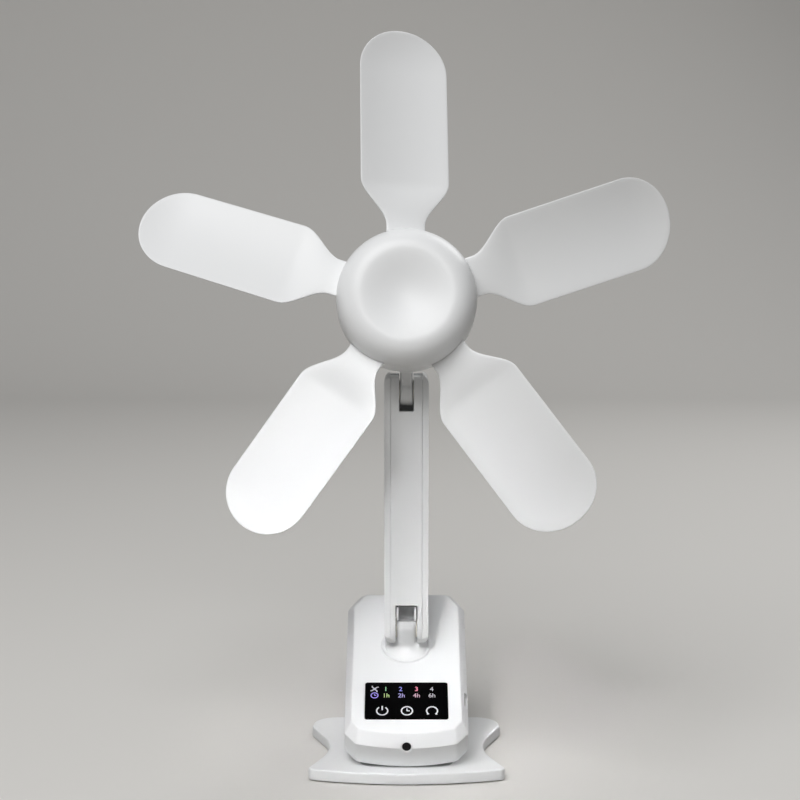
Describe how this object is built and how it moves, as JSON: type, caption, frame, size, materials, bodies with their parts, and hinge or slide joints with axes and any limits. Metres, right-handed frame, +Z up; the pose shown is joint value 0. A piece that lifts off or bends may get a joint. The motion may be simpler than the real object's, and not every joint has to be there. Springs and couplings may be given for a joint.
{
  "type": "portable camping fan",
  "caption": "Battery fan on a clip-on base: a tilted battery housing hinged on a clamping plate, a swinging and folding arm, and a tilting open head with broad blades.",
  "frame": {"origin": "on the face that the clip plate rests on, in the middle plane, below the arm's foot", "axes": "+Z up; the fan blows towards -Y; +X to the right seen from the front"},
  "size_m": [0.3356, 0.1586, 0.4768],
  "materials": {
    "white_abs": "glossy injection-moulded ABS",
    "silicone_sheet": "soft non-slip silicone",
    "zinc_steel": "zinc-plated steel",
    "spring_steel": "bright-drawn spring wire",
    "black_window": "polished black acrylic",
    "circuit_board": "solder-masked board",
    "spring_copper": "formed copper-alloy spring",
    "socket_nickel": "nickel-plated sheet steel",
    "infrared_window": "dark infrared-clear acrylic",
    "bright_ring": "silvered plastic ring",
    "cell_wrap": "steel cell in a shrink sleeve",
    "motor_can": "drawn steel can",
    "acetal": "natural acetal",
    "bearing_steel": "ground steel",
    "bronze": "turned bronze",
    "lamination_steel": "stacked steel laminations",
    "copper_wire": "enamelled copper wire",
    "bell_steel": "deep-drawn steel",
    "ferrite": "sintered ferrite"
  },
  "bodies": {
    "plate": {"clip_plate": "white_abs", "base_sheet": "silicone_sheet", "hinge_pin": "zinc_steel", "clip_spring": "spring_steel", "lower_jaw_pad": "silicone_sheet"},
    "housing": {"lower_shell": "white_abs", "upper_shell": "white_abs", "touch_window": "black_window", "control_board": "circuit_board", "touch_springs": "spring_copper", "power_board": "circuit_board", "usb_socket": "socket_nickel", "sensor_window": "infrared_window", "sensor_ring": "bright_ring", "battery_cells": "cell_wrap", "battery_tabs": "socket_nickel", "shell_screws": "zinc_steel", "upper_jaw_pad": "silicone_sheet", "swing_motor": "motor_can", "swing_screws": "zinc_steel"},
    "pinion": {"swing_pinion": "acetal"},
    "turntable": {"turntable": "white_abs", "turntable_gear": "acetal", "turntable_clip": "zinc_steel"},
    "arm": {"arm_channel": "white_abs", "arm_cover": "white_abs", "arm_screws": "zinc_steel", "fold_bolt": "zinc_steel", "fold_nut": "zinc_steel", "fold_washers": "acetal", "tilt_bolt": "zinc_steel", "tilt_nut": "zinc_steel", "tilt_washers": "acetal"},
    "head": {"head_bracket": "white_abs", "bracket_screws": "zinc_steel", "motor_case": "white_abs", "motor_board": "circuit_board", "bearing_holder": "bronze", "bearings": "bearing_steel", "stator_core": "lamination_steel", "stator_coils": "copper_wire"},
    "rotor": {"rotor_bell": "bell_steel", "rotor_magnet": "ferrite", "motor_shaft": "bearing_steel", "hub_bush": "bronze", "hub_shell": "white_abs", "blade_carrier": "white_abs", "blade_screws": "zinc_steel", "blade_1": "white_abs", "blade_2": "white_abs", "blade_3": "white_abs", "blade_4": "white_abs", "blade_5": "white_abs"}
  },
  "joints": [
    {"name": "clip_open", "type": "hinge", "parent": "plate", "child": "housing", "pos_m": [0, 0.005, 0.0265], "axis": [-1, 0, 0], "range_deg": [0, 28], "stiffness_Nm_per_rad": 1, "springref_deg": -89.95, "deforming": ["clip_spring"]},
    {"name": "swing", "type": "hinge", "parent": "housing", "child": "turntable", "pos_m": [0, -0.00503, 0.08648], "axis": [0, -0.5, 0.866], "range_deg": [-45, 45]},
    {"name": "pinion_turn", "type": "hinge", "parent": "housing", "child": "pinion", "pos_m": [0, 0.00102, 0.0424], "axis": [0, -0.5, 0.866], "range_deg": [-140, 140]},
    {"name": "fold", "type": "hinge", "parent": "turntable", "child": "arm", "pos_m": [0, -0.00503, 0.08648], "axis": [1, 0, 0], "range_deg": [0, 75]},
    {"name": "tilt", "type": "hinge", "parent": "arm", "child": "head", "pos_m": [0, -0.00503, 0.24548], "axis": [-1, 0, 0], "range_deg": [-25, 60]},
    {"name": "spin", "type": "hinge", "parent": "head", "child": "rotor", "pos_m": [0, 0.00925, 0.29308], "axis": [0, -0.9578, 0.2874], "continuous": true}
  ],
  "couplings": [
    {"joint": "pinion_turn", "follows": "swing", "ratio": -3}
  ]
}
